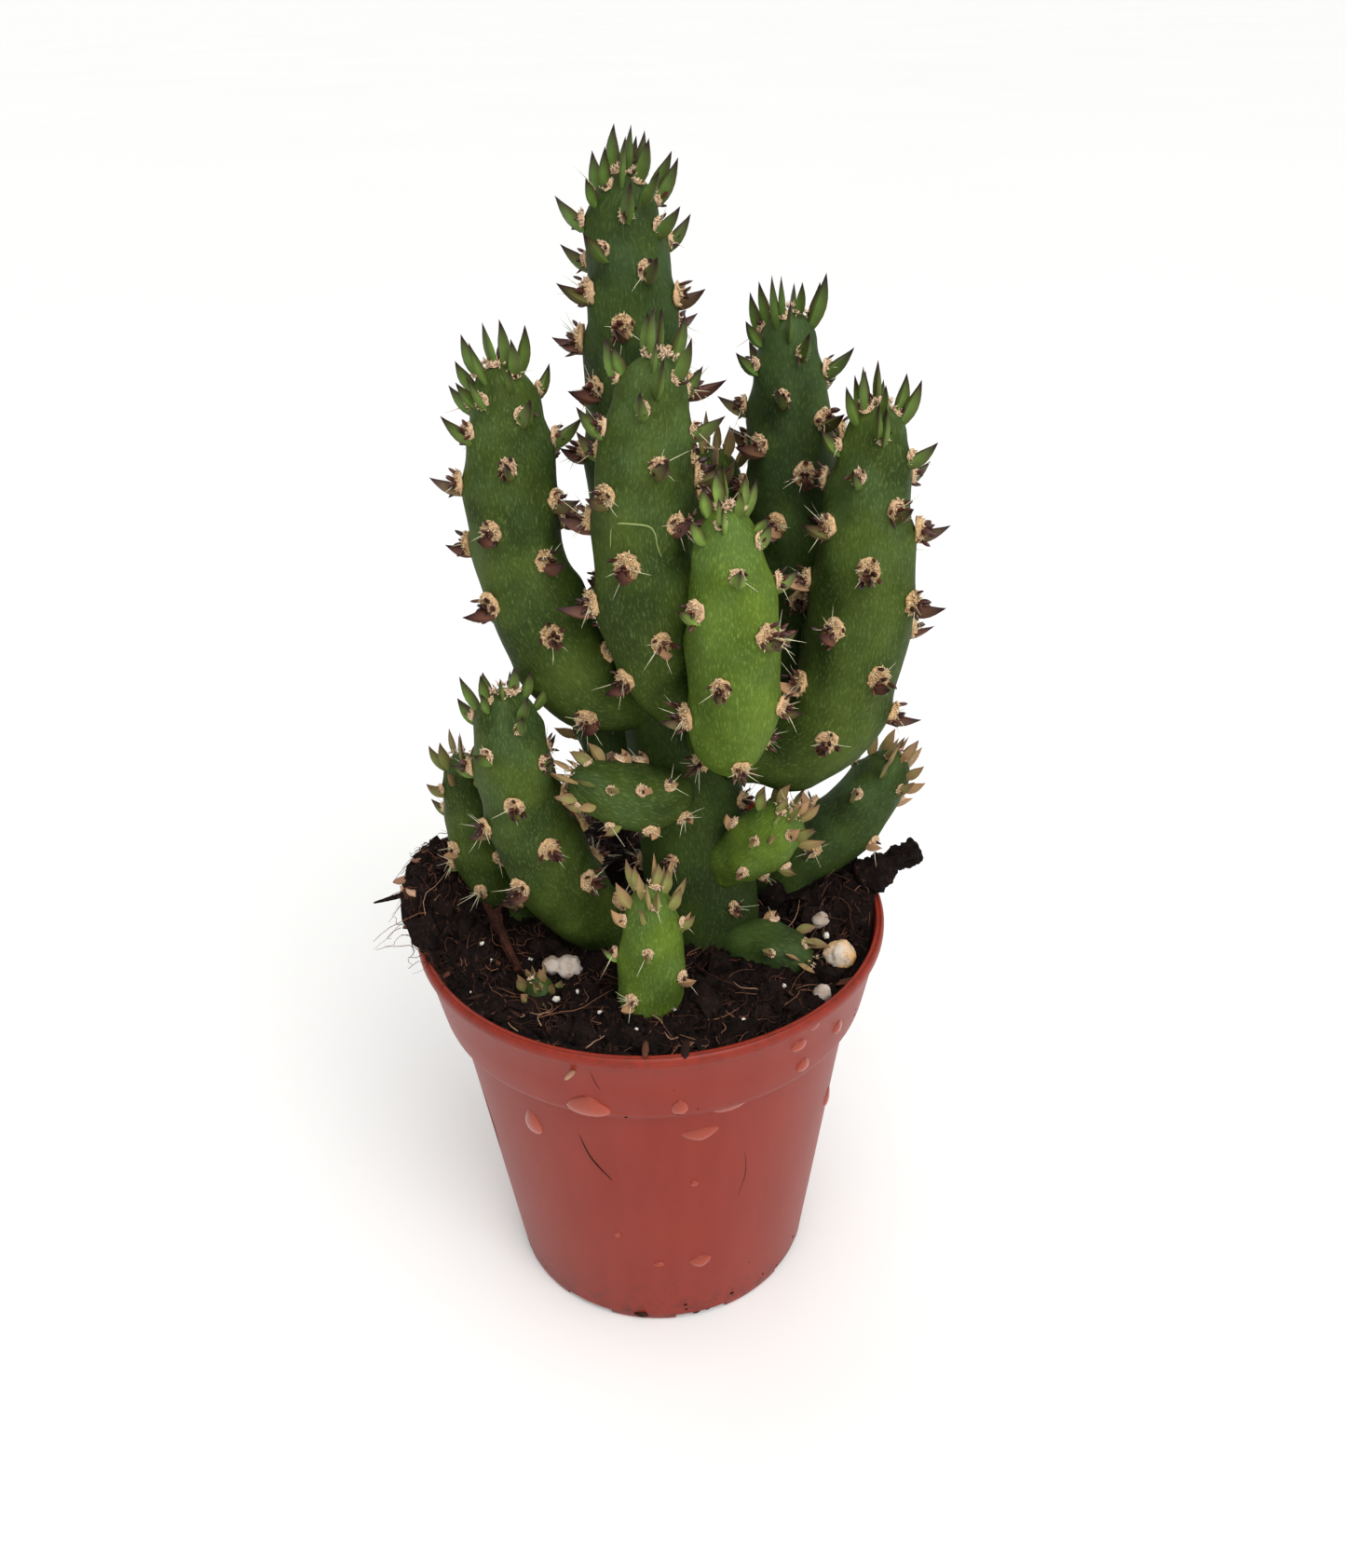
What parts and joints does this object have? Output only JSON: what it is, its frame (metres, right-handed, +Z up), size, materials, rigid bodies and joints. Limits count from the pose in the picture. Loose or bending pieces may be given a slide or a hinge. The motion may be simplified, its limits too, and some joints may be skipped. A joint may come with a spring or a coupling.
{
  "type": "potted eves needle cactus",
  "caption": "Potted cactus with a clump of upright green stems, awl-shaped leaves and woolly spine cushions, in a round tapered plastic nursery pot filled with peat mix.",
  "frame": {"origin": "centre of the ground plane under the pot, on the pot's axis", "axes": "+Z up along the pot's axis; -Y towards the viewer of the picture; +X to the viewer's right"},
  "size_m": [0.0657, 0.055, 0.1341],
  "materials": {
    "pot": "satin",
    "soil": "matte",
    "stem": "satin",
    "stem_dark": "satin",
    "stem_bright": "satin",
    "perlite": "matte",
    "perlite_stained": "matte",
    "peat": "matte",
    "dry_stalk": "matte"
  },
  "bodies": {
    "root": {"pot": "pot", "perlite_left": "perlite", "perlite_right": "perlite_stained", "perlite_small": "perlite", "perlite_far": "perlite", "peat_chunk": "peat", "dry_stalk": "dry_stalk", "root_strand": "peat", "potting_soil": "soil", "main_stem": "stem_dark", "branch_front_left": "stem", "branch_left": "stem", "branch_front": "stem_bright", "branch_right_back": "stem_dark", "branch_right": "stem", "branch_back": "stem", "shoot_lower_left": "stem", "shoot_far_left": "stem", "bud_left": "stem", "bud_right": "stem_bright", "shoot_front": "stem_bright", "shoot_far_right": "stem_dark", "shoot_low_stub": "stem_dark", "sprout_tiny": "stem", "bud_back": "stem_dark"}
  },
  "joints": []
}
